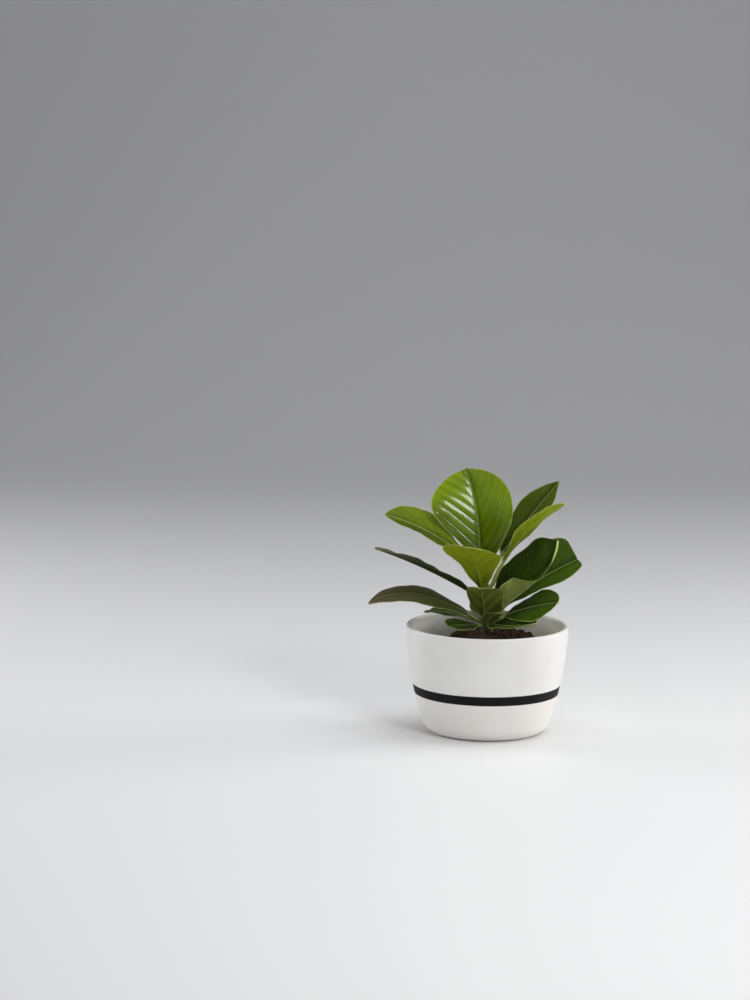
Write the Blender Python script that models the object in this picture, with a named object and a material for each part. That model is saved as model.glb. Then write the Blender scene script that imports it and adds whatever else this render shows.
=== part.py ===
"""A young fiddle leaf fig (Ficus lyrata) in a glazed ceramic bowl planter.

Metres, +Z up. The origin is the centre of the planter's flat underside.
Every piece is one closed solid in one object: the planter, the potting soil, the plant's own
root ball, the stem, its terminal bud, two stipules, and one leaf (stalk and blade) per object.
Pieces that touch keep a gap of 0.3 mm.
"""

import math

import bmesh
import bpy
import numpy as np

MM = 0.001
GAP = 0.3 * MM

# Planter: outer wall, from the rim down to a flat foot with a rounded corner.
POT_HEIGHT = 101 * MM
RIM_RADIUS = 76 * MM
WALL_DRAW_IN = 13.4 * MM      # how far the wall has come in at WALL_DRAW_DEPTH below the rim
WALL_DRAW_DEPTH = 83 * MM
WALL_DRAW_POWER = 1.75
FOOT_CORNER_RADIUS = 14 * MM
FOOT_CORNER_TOP = 10 * MM
WALL_THICKNESS = 4.2 * MM
LIP_DEPTH = 2.1 * MM          # height of the rounded lip, half the wall thickness
FLOOR_THICKNESS = 6 * MM
INNER_CORNER_RADIUS = 12 * MM
TURNED_SIDES = 48

# Soil: loose fill low in the pot, and the firmer root ball that stands proud of it.
SOIL_TOP_AT_WALL = 67 * MM
SOIL_TOP_AT_BALL = 72 * MM
BALL_OFFSET = 5 * MM          # the plant was potted a little off centre, to +X
BALL_RADIUS = 43 * MM
BALL_BASE_RADIUS = 36 * MM
BALL_BOTTOM = 22 * MM
BALL_SHOULDER = 84 * MM
BALL_TOP = 95 * MM

# Stem: (x, y, z) of its bends and its radius at the bottom and the top, in millimetres.
STEM_LINE = ((0, 0, 85), (-1, 0.5, 110), (-3.5, 1, 136), (-5, 2, 157))
STEM_LOW = STEM_LINE[0][2]
STEM_TOP = STEM_LINE[-1][2]
STEM_RADIUS_LOW = 6.4
STEM_RADIUS_TOP = 3.6
STEM_SIDES = 16
STEM_RINGS = 13
BUD_HEIGHT = 13
BUD_RADIUS = 2.9
BUD_TIP_RADIUS = 0.3
BUD_LEAN = 1.5
BUD_RINGS = 8
STIPULE_LENGTH = 13

# Leaves. Lengths are in millimetres and angles in degrees. Headings turn anticlockwise from +X, seen
# from above. "Right" is the leaf's own right side, looking from the stalk to the tip.
#   height: where the stalk leaves the stem; heading and rise: the way it sets off
#   stalk: radius of the stalk; petiole: its length
#   length, width: of the blade; widest: the part of its length where it is widest
#   skew: how much further out that is on the right; uneven: extra width on the right
#   waist: how far a fiddle shape narrows near the stalk, or swells there if it is negative
#   point_*: 0.5 is a blunt tip and 1 a pointed one; flare_*: how far the margin fans out lengthwise
#   droop, tip_droop: downward bend over the whole leaf and late in it
#   sway, sway_late: sideways bend, + to the right, and how late it comes
#   roll: turn about its own length, + lifts the right side
#   fold_*: lift of each half from the midrib; open_*: how much of that is gone in the outer part
#   ruffle: height of the wavy margin
BLADE_THICKNESS = 1.0
MIDRIB_DEPTH = 1.3            # how far the midrib stands out below the blade at the stalk
MIDRIB_TAPER = 0.75           # how much of it is gone at the tip
TIP_HALF_WIDTH = 0.9          # the blunt end that the tip keeps
RUFFLE_WAVES = 2.0
RUFFLE_SHIFT = 0.37           # of a wave, between the two margins
WAIST_AT = 0.2
WAIST_REACH = 0.12
OPEN_FROM = 0.34              # the parts of the length between which a folded half opens
OPEN_TO = 0.6
FLARE_CENTRE = 0.4            # the part of the length where the flare changes sign
STALK_ARC = 0.88              # how much of the stalk's half round the points of one side span
BLEND_FROM = -0.3             # where the round stalk starts to flatten into the blade,
BLEND_TO = 0.12               # and where it is flat
SPINE_STEPS = 160
BLADE_STATIONS = 12
LAST_STATION = 0.99           # the part of the blade's length that the last station stands at
STALK_STATIONS = 2
HALF_COLUMNS = 3
LEAF_DEFAULTS = dict(
    stalk=2.1, petiole=10, widest=0.62, skew=0.0, uneven=0.0, waist=0.12,
    point_left=0.5, point_right=0.5, flare_left=0.0, flare_right=0.0,
    droop=0, tip_droop=0, sway=0, sway_late=1.5, roll=0,
    fold_left=8, fold_right=8, open_left=0.0, open_right=0.0, ruffle=0.8, green="leaf_green",
)
LEAVES = {
    "leaf_tall": dict(
        height=148, heading=110, length=90, width=84, widest=0.60, skew=-0.06, uneven=0.04,
        point_left=0.42, point_right=0.9, rise=83, droop=12, sway=-17, sway_late=2.2, roll=34,
        fold_left=22, fold_right=26, green="young_green"),
    "leaf_upper_left": dict(
        height=152, heading=181, petiole=14, length=88, width=57, widest=0.57, skew=0.03, uneven=0.2,
        waist=0.25, point_left=0.7, point_right=0.8, rise=47, droop=33, roll=13),
    "leaf_front_top": dict(
        height=127, heading=252, petiole=6, length=72, width=55, widest=0.75, waist=-0.25, rise=74,
        droop=52, roll=3, fold_left=2, fold_right=2, green="young_green"),
    "leaf_upper_right": dict(
        height=150, heading=26, petiole=20, length=89, width=42, widest=0.56, uneven=0.1, point_left=0.8,
        point_right=1.05, rise=51, droop=5, roll=-18, fold_left=12, fold_right=22),
    "leaf_right_slim": dict(
        height=135, heading=335, petiole=28, length=88, width=32, widest=0.60, uneven=-0.2, waist=0.35,
        point_left=0.7, point_right=0.7, rise=71, droop=42, roll=8, fold_left=6, fold_right=14,
        green="young_green"),
    "leaf_right_scoop": dict(
        height=113, heading=340, petiole=6, length=93, width=54, widest=0.54, skew=-0.08, uneven=-0.38,
        waist=-0.3, point_left=0.35, point_right=0.9, rise=36, droop=-8, tip_droop=-46, roll=-30,
        fold_left=44, fold_right=84, open_left=0.5, open_right=0.8, flare_left=0.5, flare_right=0.2),
    "leaf_right_round": dict(
        height=108, heading=14, petiole=14, length=82, width=60, widest=0.76, skew=-0.04, waist=-0.1,
        point_left=0.12, point_right=0.25, rise=44, droop=22, roll=-36, fold_left=20, fold_right=30),
    "leaf_left_edge": dict(
        height=128, heading=183, petiole=9, length=98, width=31, widest=0.48, waist=0.0, point_left=0.9,
        point_right=0.9, rise=31, droop=13, roll=-10, fold_left=14, fold_right=14, ruffle=1.2),
    "leaf_left_arch": dict(
        height=104, heading=188, length=102, width=47, widest=0.52, rise=36, droop=40, tip_droop=34,
        roll=10, fold_left=0, fold_right=0, point_left=1.0, point_right=1.0),
    "leaf_back_low": dict(
        height=103, heading=142, length=53, width=35, widest=0.70, rise=8, droop=12, roll=4,
        point_left=0.4, point_right=0.4),
    "leaf_right_low": dict(
        height=105, heading=332, petiole=14, length=58, width=44, rise=28, droop=17, roll=-26, fold_left=6,
        fold_right=-4),
    "leaf_right_floor": dict(
        height=102.7, heading=300, stalk=1.6, petiole=3, length=58, width=26, rise=0, sway=-36,
        sway_late=1.0, roll=-28, fold_left=2, fold_right=24, waist=-0.8, uneven=-0.1, ruffle=0.4),
    "leaf_left_floor": dict(
        height=101, heading=222, stalk=1.6, petiole=5, length=37, width=27, rise=8, droop=6, roll=14,
        fold_left=4, fold_right=4, ruffle=0.4),
    "leaf_front_low": dict(
        height=105, heading=257, stalk=1.6, petiole=3, length=42, width=34, widest=0.62, uneven=-0.15,
        waist=-0.5, point_left=0.35, point_right=0.35, rise=76, droop=20, tip_droop=50, fold_left=4,
        fold_right=4, ruffle=0.3),
    "leaf_front_small": dict(
        height=100, heading=279, stalk=1.4, petiole=3, length=27, width=15, widest=0.55, waist=-0.4,
        point_left=0.4, point_right=0.4, rise=66, droop=58, sway=-50, roll=2, fold_left=4, fold_right=4,
        ruffle=0.3),
    "leaf_back_right": dict(
        height=121, heading=50, length=78, width=48, rise=26, droop=12),
    "leaf_back_mid": dict(
        height=113, heading=86, length=70, width=42, rise=8, droop=18),
}

# Name: base colour, roughness, metallic.
FINISHES = {
    "white_glaze": ((0.80, 0.79, 0.77), 0.45, 0.0),
    "potting_mix": ((0.05, 0.03, 0.02), 0.95, 0.0),
    "peat": ((0.07, 0.04, 0.02), 0.95, 0.0),
    "green_bark": ((0.14, 0.17, 0.04), 0.7, 0.0),
    "bud_scale": ((0.30, 0.34, 0.08), 0.5, 0.0),
    "dry_scale": ((0.20, 0.10, 0.04), 0.8, 0.0),
    "leaf_green": ((0.03, 0.09, 0.01), 0.4, 0.0),
    "young_green": ((0.16, 0.25, 0.01), 0.4, 0.0),
}


def clear_scene():
    for item in list(bpy.data.objects):
        bpy.data.objects.remove(item, do_unlink=True)


def finish(name):
    """The material of that name, made the first time it is asked for."""
    if name in bpy.data.materials:
        return bpy.data.materials[name]
    colour, roughness, metallic = FINISHES[name]
    material = bpy.data.materials.new(name)
    material.use_nodes = True
    surface = material.node_tree.nodes["Principled BSDF"]
    surface.inputs["Base Color"].default_value = (*colour, 1)
    surface.inputs["Roughness"].default_value = roughness
    surface.inputs["Metallic"].default_value = metallic
    return material


def add_object(name, mesh, material_name):
    mesh.materials.append(finish(material_name))
    mesh.shade_smooth()
    mesh.set_sharp_from_angle(angle=math.radians(40))
    piece = bpy.data.objects.new(name, mesh)
    bpy.context.scene.collection.objects.link(piece)
    return piece


def loft(name, rings, material_name, scale=1.0):
    """A closed solid through rings of equal length, with a flat face on each end."""
    mesh = bpy.data.meshes.new(name)
    work = bmesh.new()
    rows = [[work.verts.new(tuple(point * scale)) for point in ring] for ring in rings]
    count = len(rows[0])
    for row, following in zip(rows, rows[1:]):
        for i in range(count):
            j = (i + 1) % count
            work.faces.new((row[i], row[j], following[j], following[i]))
    work.faces.new(list(reversed(rows[0])))
    work.faces.new(rows[-1])
    bmesh.ops.recalc_face_normals(work, faces=work.faces)
    bmesh.ops.triangulate(work, faces=work.faces)
    if work.calc_volume(signed=True) < 0:
        bmesh.ops.reverse_faces(work, faces=work.faces)
    work.to_mesh(mesh)
    work.free()
    return add_object(name, mesh, material_name)


def turn(name, profile, material_name, centre_x=0.0):
    """A solid of revolution about an upright axis. The profile starts and ends on the axis."""
    mesh = bpy.data.meshes.new(name)
    work = bmesh.new()
    line = [work.verts.new((centre_x + radius, 0, height)) for radius, height in profile]
    edges = [work.edges.new(pair) for pair in zip(line, line[1:])]
    bmesh.ops.spin(work, geom=line + edges, cent=(centre_x, 0, 0), axis=(0, 0, 1), angle=2 * math.pi,
                   steps=TURNED_SIDES, use_merge=True)
    bmesh.ops.remove_doubles(work, verts=work.verts, dist=0.00001)
    bmesh.ops.recalc_face_normals(work, faces=work.faces)
    if work.calc_volume(signed=True) < 0:
        bmesh.ops.reverse_faces(work, faces=work.faces)
    work.to_mesh(mesh)
    work.free()
    return add_object(name, mesh, material_name)


def wall_radius(height):
    """Outer radius of the planter above its rounded foot."""
    depth = (POT_HEIGHT - height) / WALL_DRAW_DEPTH
    return RIM_RADIUS - WALL_DRAW_IN * depth ** WALL_DRAW_POWER


def inner_radius(height):
    """Inner radius of the planter, rounded in to its floor."""
    straight = wall_radius(height) - WALL_THICKNESS
    into_corner = INNER_CORNER_RADIUS - (height - FLOOR_THICKNESS)
    if into_corner <= 0:
        return straight
    return straight - INNER_CORNER_RADIUS + math.sqrt(INNER_CORNER_RADIUS ** 2 - into_corner ** 2)


def corner_heights():
    """Heights of the rings in the corner between the planter's floor and its inner wall."""
    return np.linspace(FLOOR_THICKNESS, FLOOR_THICKNESS + INNER_CORNER_RADIUS, 5)


def foot_corner(wall_bottom):
    """The rounded corner between the flat foot and the wall, from the foot up."""
    radius, height = wall_bottom
    centre_radius = radius - math.sqrt(FOOT_CORNER_RADIUS ** 2 - (FOOT_CORNER_RADIUS - height) ** 2)
    last = math.asin((FOOT_CORNER_RADIUS - height) / FOOT_CORNER_RADIUS)
    angles = np.linspace(math.pi / 2, last, 6)[:-1]
    return [(centre_radius + FOOT_CORNER_RADIUS * math.cos(a),
             FOOT_CORNER_RADIUS * (1 - math.sin(a))) for a in angles]


def build_planter():
    lip_start = POT_HEIGHT - LIP_DEPTH
    wall = [(wall_radius(h), h) for h in np.linspace(FOOT_CORNER_TOP, lip_start, 10)]
    lip_centre = wall_radius(lip_start) - WALL_THICKNESS / 2
    lip = [(lip_centre + WALL_THICKNESS / 2 * math.cos(a), lip_start + LIP_DEPTH * math.sin(a))
           for a in np.linspace(0, math.pi, 7)[1:]]
    corner = corner_heights()
    inside = [(inner_radius(h), h) for h in np.linspace(lip_start, corner[-1], 7)[1:]]
    inside += [(inner_radius(h), h) for h in corner[-2::-1]]
    profile = [(0, 0)] + foot_corner(wall[0]) + wall + lip + inside + [(0, FLOOR_THICKNESS)]
    return turn("planter", profile, "white_glaze")


def ball_profile(grow=0.0):
    """The outside of the root ball up to its shoulder, grown sideways and down by a gap."""
    return [(0, BALL_BOTTOM - grow), (BALL_BASE_RADIUS + grow, BALL_BOTTOM - grow),
            (BALL_RADIUS + grow, BALL_SHOULDER)]


def build_potting_soil():
    """The fill, with a pocket cut for the root ball."""
    corner = corner_heights()
    outside = [(inner_radius(h) - GAP, h + GAP) for h in corner]
    outside += [(inner_radius(h) - GAP, h) for h in np.linspace(corner[-1], SOIL_TOP_AT_WALL, 5)[1:]]
    top = [(BALL_RADIUS, SOIL_TOP_AT_BALL), (0, SOIL_TOP_AT_BALL)]
    soil = turn("potting_soil", [(0, FLOOR_THICKNESS + GAP)] + outside + top, "potting_mix")
    pocket = turn("pocket_cutter", ball_profile(GAP) + [(0, BALL_SHOULDER)], "potting_mix", BALL_OFFSET)
    pocket.hide_render = True
    pocket.display_type = "WIRE"
    cut = soil.modifiers.new("pocket", "BOOLEAN")
    cut.operation = "DIFFERENCE"
    cut.object = pocket
    return soil


def build_root_ball():
    """A tapered plug with a domed top. The stem stands in a socket near its middle."""
    dome = [(BALL_RADIUS * math.cos(a), BALL_SHOULDER + (BALL_TOP - BALL_SHOULDER) * math.sin(a) ** 0.8)
            for a in np.linspace(0, math.pi / 2, 8)[1:-1]]
    ball = turn("root_ball", ball_profile() + dome + [(0, BALL_TOP)], "peat", BALL_OFFSET)
    socket_radius = STEM_RADIUS_LOW * MM + GAP
    socket_floor = STEM_LOW * MM - GAP
    socket = turn("socket_cutter", [(0, socket_floor), (socket_radius, socket_floor),
                                    (socket_radius, POT_HEIGHT), (0, POT_HEIGHT)], "peat")
    socket.hide_render = True
    socket.display_type = "WIRE"
    cut = ball.modifiers.new("socket", "BOOLEAN")
    cut.operation = "DIFFERENCE"
    cut.object = socket
    return ball


def stem_point(height):
    """Centre of the stem at a height, in millimetres."""
    x, y, z = zip(*STEM_LINE)
    return np.array([np.interp(height, z, x), np.interp(height, z, y), height])


def stem_radius(height):
    return float(np.interp(height, (STEM_LOW, STEM_TOP), (STEM_RADIUS_LOW, STEM_RADIUS_TOP)))


def level_ring(centre, radius):
    """Points of a level circle round the stem."""
    around = np.linspace(0, 2 * math.pi, STEM_SIDES, endpoint=False)
    return centre + radius * np.stack([np.cos(around), np.sin(around), 0 * around], axis=1)


def build_stem():
    heights = np.linspace(STEM_LOW, STEM_TOP, STEM_RINGS)
    return loft("stem", [level_ring(stem_point(z), stem_radius(z)) for z in heights], "green_bark", MM)


def build_bud():
    """The pointed sheath that the next leaf unrolls from, leaning a little."""
    foot = stem_point(STEM_TOP) + (0, 0, GAP / MM)
    rings = []
    for part in np.linspace(0, 1, BUD_RINGS):
        radius = BUD_TIP_RADIUS + (BUD_RADIUS - BUD_TIP_RADIUS) * math.cos(part * math.pi / 2) ** 0.8
        rings.append(level_ring(foot + (-BUD_LEAN * part ** 2, 0, BUD_HEIGHT * part), radius))
    return loft("terminal_bud", rings, "bud_scale", MM)


def turned(vector, axis, angle):
    """A vector turned about a unit axis (Rodrigues' formula)."""
    return (vector * math.cos(angle) + np.cross(axis, vector) * math.sin(angle)
            + axis * np.dot(axis, vector) * (1 - math.cos(angle)))


def leaf_start(leaf):
    """Where the middle of the stalk's end face is: its rim just clears the stem."""
    side = math.radians(leaf["heading"])
    tilt = leaf["stalk"] * abs(math.sin(math.radians(leaf["rise"])))
    reach = stem_radius(leaf["height"]) + GAP / MM + tilt
    return stem_point(leaf["height"]) + reach * np.array([math.cos(side), math.sin(side), 0])


def leaf_spine(leaf):
    """Points and frames (along, right, up) at even steps from the stalk's end to the tip."""
    heading, rise, roll = (math.radians(leaf[key]) for key in ("heading", "rise", "roll"))
    total = leaf["petiole"] + leaf["length"]
    along = np.array([math.cos(rise) * math.cos(heading), math.cos(rise) * math.sin(heading), math.sin(rise)])
    level = np.array([math.sin(heading), -math.cos(heading), 0.0])
    right = turned(level, along, -roll)
    up = np.cross(right, along)
    point = leaf_start(leaf)
    points, frames = [point], [(along, right, up)]
    for i in range(SPINE_STEPS):
        before, now = i / SPINE_STEPS, (i + 1) / SPINE_STEPS
        droop = leaf["droop"] * (now - before) + leaf["tip_droop"] * (now ** 4 - before ** 4)
        sway = leaf["sway"] * (now ** leaf["sway_late"] - before ** leaf["sway_late"])
        for axis, angle in ((level, -math.radians(droop)), (up, -math.radians(sway))):
            along, right, up = (turned(v, axis, angle) for v in (along, right, up))
        point = point + along * total / SPINE_STEPS
        points.append(point)
        frames.append((along, right, up))
    return np.array(points), np.array(frames)


def eased(value, low, high):
    """0 below low and 1 above high, with a smooth rise between them."""
    part = min(1, max(0, (value - low) / (high - low)))
    return part * part * (3 - 2 * part)


def half_width(leaf, t, is_right):
    """Half the blade's width at a part t of its length: a rounded fiddle shape."""
    sign = 1 if is_right else -1
    shape = math.log(0.5) / math.log(leaf["widest"] + sign * leaf["skew"])
    point = leaf["point_right"] if is_right else leaf["point_left"]
    power = 0.5 + (point - 0.5) * t ** 3
    width = math.sin(math.pi * min(max(t, 0), 1) ** shape) ** power if 0 < t < 1 else 0.0
    width *= 1 - leaf["waist"] * math.exp(-((t - WAIST_AT) / WAIST_REACH) ** 2)
    return leaf["width"] / 2 * width * (1 + sign * leaf["uneven"])


def blade_point(leaf, t, u):
    """Offset (right, up, along) of the blade's middle surface at t along it and u across, from -1 to 1."""
    is_right = u > 0
    side = "right" if is_right else "left"
    width = half_width(leaf, t, is_right)
    fold = math.radians(leaf["fold_" + side]) * (1 - leaf["open_" + side] * eased(t, OPEN_FROM, OPEN_TO))
    wave = RUFFLE_WAVES * t + RUFFLE_SHIFT * is_right
    ripple = leaf["ruffle"] * math.sin(2 * math.pi * wave) * u * u * min(1, 4 * t)
    right = u * width * math.cos(fold)
    up = abs(u) * width * math.sin(fold) + ripple
    along = leaf["flare_" + side] * (t - FLARE_CENTRE) * (1 - t ** 4) * abs(u) * leaf["width"] / 2
    return right, up, along


def leaf_ring(leaf, t):
    """The section at t, as offsets (right, up, along): t is below 0 on the stalk and 0 to 1 on the blade.

    The points run along the top from left to right and back below.
    """
    flat = eased(t, BLEND_FROM, BLEND_TO)
    rib = MIDRIB_DEPTH * (1 - MIDRIB_TAPER * max(t, 0))
    top, below = [], []
    for column in range(-HALF_COLUMNS, HALF_COLUMNS + 1):
        u = column / HALF_COLUMNS
        right, up, along = blade_point(leaf, max(t, 0), u)
        right += TIP_HALF_WIDTH * np.sign(column)
        over = np.array([right, up + BLADE_THICKNESS / 2, along])
        under = np.array([right, up - BLADE_THICKNESS / 2 - (rib if column == 0 else 0), along])
        angle = math.pi / 2 * (1 - STALK_ARC * u)
        stalk_right, stalk_up = leaf["stalk"] * math.cos(angle), leaf["stalk"] * math.sin(angle)
        top.append(np.array([stalk_right, stalk_up, 0]) * (1 - flat) + over * flat)
        below.append(np.array([stalk_right, -stalk_up, 0]) * (1 - flat) + under * flat)
    return top + below[::-1]


def build_leaf(name, leaf):
    """One stalk and blade. The stations lie closer together towards the tip."""
    points, frames = leaf_spine(leaf)
    total = leaf["petiole"] + leaf["length"]
    on_stalk = np.linspace(-1, 0, STALK_STATIONS, endpoint=False)
    on_blade = LAST_STATION * (1 - (1 - np.linspace(0, 1, BLADE_STATIONS)) ** 1.4)
    rings = []
    for t in np.concatenate([on_stalk, on_blade]):
        distance = leaf["petiole"] + t * (leaf["petiole"] if t < 0 else leaf["length"])
        place = distance / total * SPINE_STEPS
        index = min(int(place), SPINE_STEPS - 1)
        part = place - index
        centre = points[index] * (1 - part) + points[index + 1] * part
        ahead, right, up = frames[index] * (1 - part) + frames[index + 1] * part
        rings.append([centre + right * x + up * y + ahead * z for x, y, z in leaf_ring(leaf, t)])
    return loft(name, rings, leaf["green"], MM)


def build_stipule(name, height, heading):
    """A papery scale, built as a tiny leaf, that stands against the stem above a leaf joint."""
    scale = dict(LEAF_DEFAULTS, height=height, heading=heading, rise=80, stalk=1.4, petiole=2,
                 length=STIPULE_LENGTH, width=7, widest=0.4, droop=-6, fold_left=30, fold_right=30,
                 point_left=1.0, point_right=1.0, ruffle=0.0, green="dry_scale")
    return build_leaf(name, scale)


def main():
    clear_scene()
    build_planter()
    build_potting_soil()
    build_root_ball()
    build_stem()
    build_bud()
    build_stipule("stipule_upper", 136, 70)
    build_stipule("stipule_lower", 122, 110)
    for name, values in LEAVES.items():
        build_leaf(name, {**LEAF_DEFAULTS, **values})


main()
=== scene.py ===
# %% [markdown]
# # A potted fiddle leaf fig
# A young fiddle leaf fig stands in a white glazed bowl planter. The scene has the planter with its black
# band, the soil, the stem with the scars of old leaves, a bud, two dry scales and seventeen leaves.
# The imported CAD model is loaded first. It gives every piece its place, in metres with +Z up, and each
# piece made below stands for one of its nodes.

# %% Load the model
import math

import bmesh
import bpy
import numpy as np
from mathutils import Matrix, Quaternion, Vector, noise


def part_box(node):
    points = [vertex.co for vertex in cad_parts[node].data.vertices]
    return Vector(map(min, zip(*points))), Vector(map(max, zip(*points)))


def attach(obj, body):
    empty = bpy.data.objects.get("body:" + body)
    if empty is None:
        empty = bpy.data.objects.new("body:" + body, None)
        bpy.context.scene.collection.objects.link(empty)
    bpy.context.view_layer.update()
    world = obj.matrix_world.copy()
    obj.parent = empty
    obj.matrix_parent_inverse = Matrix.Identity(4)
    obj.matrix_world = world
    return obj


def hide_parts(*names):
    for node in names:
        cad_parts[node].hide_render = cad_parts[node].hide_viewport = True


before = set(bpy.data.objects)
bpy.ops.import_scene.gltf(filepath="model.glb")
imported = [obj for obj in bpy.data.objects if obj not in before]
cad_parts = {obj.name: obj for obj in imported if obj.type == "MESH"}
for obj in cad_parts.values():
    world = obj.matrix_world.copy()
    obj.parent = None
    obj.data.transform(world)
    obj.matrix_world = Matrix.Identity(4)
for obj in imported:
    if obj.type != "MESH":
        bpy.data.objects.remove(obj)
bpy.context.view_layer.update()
MM = 0.001

# %% [markdown]
# ## The camera
# A camera needs a place, a lens and a direction. A 150 mm lens from almost four metres away flattens the
# perspective, as in a catalogue. The camera first looks straight at the middle of the rim and is tipped
# sideways by one degree. A second, small turn then moves the planter to the lower right of the picture: it
# turns the direction in which the planter should appear onto the camera's own axis.

# %% Camera
LENS, SENSOR = 150, 36                     # millimetres
CAMERA_AWAY = 3.9                          # metres from the rim
CAMERA_HEIGHT = math.radians(10.8)         # above the level of the rim
CAMERA_TIP = math.radians(1.0)
RIM_ACROSS, RIM_DOWN = 0.1123, 0.1243      # from the picture's centre, as parts of its height

rim_centre = Vector((0, 0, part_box("planter")[1].z))
bpy.ops.object.camera_add()
camera = bpy.context.object
camera.data.lens = LENS
camera.data.sensor_width = SENSOR
away = Vector((0, -math.cos(CAMERA_HEIGHT), math.sin(CAMERA_HEIGHT)))
camera.location = rim_centre + CAMERA_AWAY * away
seen_at = Vector((RIM_ACROSS * SENSOR, -RIM_DOWN * SENSOR, -LENS)).normalized()
straight = (-away).to_track_quat("-Z", "Y") @ Quaternion((0, 0, 1), CAMERA_TIP)
camera.rotation_mode = "QUATERNION"
camera.rotation_quaternion = straight @ seen_at.rotation_difference(Vector((0, 0, -1)))
camera.data.clip_start = 0.1
bpy.context.scene.camera = camera
print("camera at", [round(v, 2) for v in camera.location])

# %% [markdown]
# ## Two helpers for working by hand
# Operators act on whatever is selected, so each step starts from nothing selected. Every finished piece
# keeps its place in its mesh and rides on the one body of this model.

# %% Selecting and finishing
def deselect():
    if bpy.context.object and bpy.context.object.mode != "OBJECT":
        bpy.ops.object.mode_set(mode="OBJECT")
    bpy.ops.object.select_all(action="DESELECT")


def finish_piece(piece, name, node, materials, smooth=40):
    """Names a piece, gives it its materials and lets it stand for a CAD node."""
    deselect()
    piece.select_set(True)
    bpy.context.view_layer.objects.active = piece
    bpy.ops.object.transform_apply(location=True, rotation=True, scale=True)
    bpy.ops.object.shade_smooth_by_angle(angle=math.radians(smooth))
    piece.name = piece.data.name = name
    for material in materials:
        piece.data.materials.append(material)
    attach(piece, "root")
    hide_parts(node)
    return piece


# %% [markdown]
# ## Writing shaders as sums
# A procedural material is a graph of nodes. To keep it readable, a small class wraps a node's socket, so
# that an expression such as 1 - mask adds the Math node that works it out. A second class holds the
# material and adds any other kind of node by its type, its settings and its inputs.

# %% Shader helpers
class Wire:
    """A number, colour or vector on its way through a material."""

    def __init__(self, finish, socket):
        self.finish = finish
        self.socket = socket

    def maths(self, operation, *others):
        return self.finish.node("Math", dict(operation=operation), dict(enumerate(others)))

    def __add__(self, other):
        return self.maths("ADD", self, other)

    def __sub__(self, other):
        return self.maths("SUBTRACT", self, other)

    def __mul__(self, other):
        return self.maths("MULTIPLY", self, other)

    def __rsub__(self, other):
        return self.maths("SUBTRACT", other, self)

    __radd__ = __add__


class Finish:
    """One material, and the nodes that are added to it."""

    def __init__(self, name, **constants):
        self.material = bpy.data.materials.new(name)
        self.material.use_nodes = True
        self.tree = self.material.node_tree
        self.surface = self.tree.nodes["Principled BSDF"]
        for socket, value in constants.items():
            self.surface.inputs[socket.replace("_", " ")].default_value = value

    def node(self, kind, settings=None, inputs=None, output=0):
        """Adds a node, and gives the output that is asked for, by its number."""
        made = self.tree.nodes.new("ShaderNode" + kind)
        for key, value in (settings or {}).items():
            setattr(made, key, value)
        for key, value in (inputs or {}).items():
            if isinstance(value, Wire):
                self.tree.links.new(value.socket, made.inputs[key])
            elif isinstance(value, tuple):      # a colour, which also needs its alpha
                made.inputs[key].default_value = (*value, 1)
            else:
                made.inputs[key].default_value = value
        return Wire(self, made.outputs[output])

    def object_place(self):
        return self.node("TexCoord", output=3)

    def attribute(self, name):
        """The three numbers that a mesh keeps under that name."""
        vector = self.node("Attribute", dict(attribute_name=name), output=1)
        return [self.node("SeparateXYZ", None, {0: vector}, part) for part in range(3)]

    def step(self, value, low, high):
        """0 below low and 1 above high, with a smooth rise between them."""
        return self.node("MapRange", dict(interpolation_type="SMOOTHSTEP"),
                         {0: value, 1: low, 2: high, 3: 0.0, 4: 1.0})

    def mix(self, factor, first, second):
        """The first colour where the factor is 0, the second where it is 1."""
        return self.node("Mix", dict(data_type="RGBA"), {0: factor, 6: first, 7: second}, 2)

    def grain(self, scale, detail, roughness=0.5):
        """Noise from 0 to 1. Scale is in features for each metre."""
        return self.node("TexNoise", None, {"Vector": self.object_place(), "Scale": scale,
                                            "Detail": detail, "Roughness": roughness})

    def bump(self, height, distance, strength):
        return self.node("Bump", None, {"Height": height, "Distance": distance, "Strength": strength})

    def feed(self, **wires):
        """Connects the surface's inputs, and gives the finished material."""
        for socket, wire in wires.items():
            self.tree.links.new(wire.socket, self.surface.inputs[socket.replace("_", " ")])
        return self.material


# %% [markdown]
# ## Turned shapes
# A pot is thrown on a wheel, so every level cut through it is a circle. The helper starts with a filled
# circle for the foot and then works up the outside as a potter would, one ring at a time: it extrudes the
# face, lifts it and scales it to the next radius. At the lip it comes over and goes down the inside, and the
# last face closes the shape. The stem and the bud are made the same way, with a centre that moves.

# %% Turned shapes
def turn_up(profile, sides):
    """A closed solid from (radius, height) pairs, or (radius, height, x, y) where its centre moves."""
    deselect()
    radius, height, *centre = (*profile[0], 0, 0)[:4]
    bpy.ops.mesh.primitive_circle_add(vertices=sides, radius=radius, fill_type="NGON",
                                      location=(centre[0], centre[1], height))
    piece = bpy.context.object
    bpy.ops.object.transform_apply(location=True)
    bpy.ops.object.mode_set(mode="EDIT")
    bpy.ops.mesh.select_mode(type="FACE")
    bpy.ops.mesh.select_all(action="SELECT")
    for place in profile[1:]:
        new_radius, new_height, x, y = (*place, 0, 0)[:4]
        lift = (x - centre[0], y - centre[1], new_height - height)
        bpy.ops.mesh.extrude_region_move(TRANSFORM_OT_translate={"value": lift})
        grow = new_radius / radius
        bpy.ops.transform.resize(value=(grow, grow, 1), center_override=(x, y, new_height))
        radius, height, centre = new_radius, new_height, (x, y)
    bpy.ops.mesh.select_all(action="SELECT")
    bpy.ops.mesh.normals_make_consistent(inside=False)
    bpy.ops.object.mode_set(mode="OBJECT")
    return piece


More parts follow.
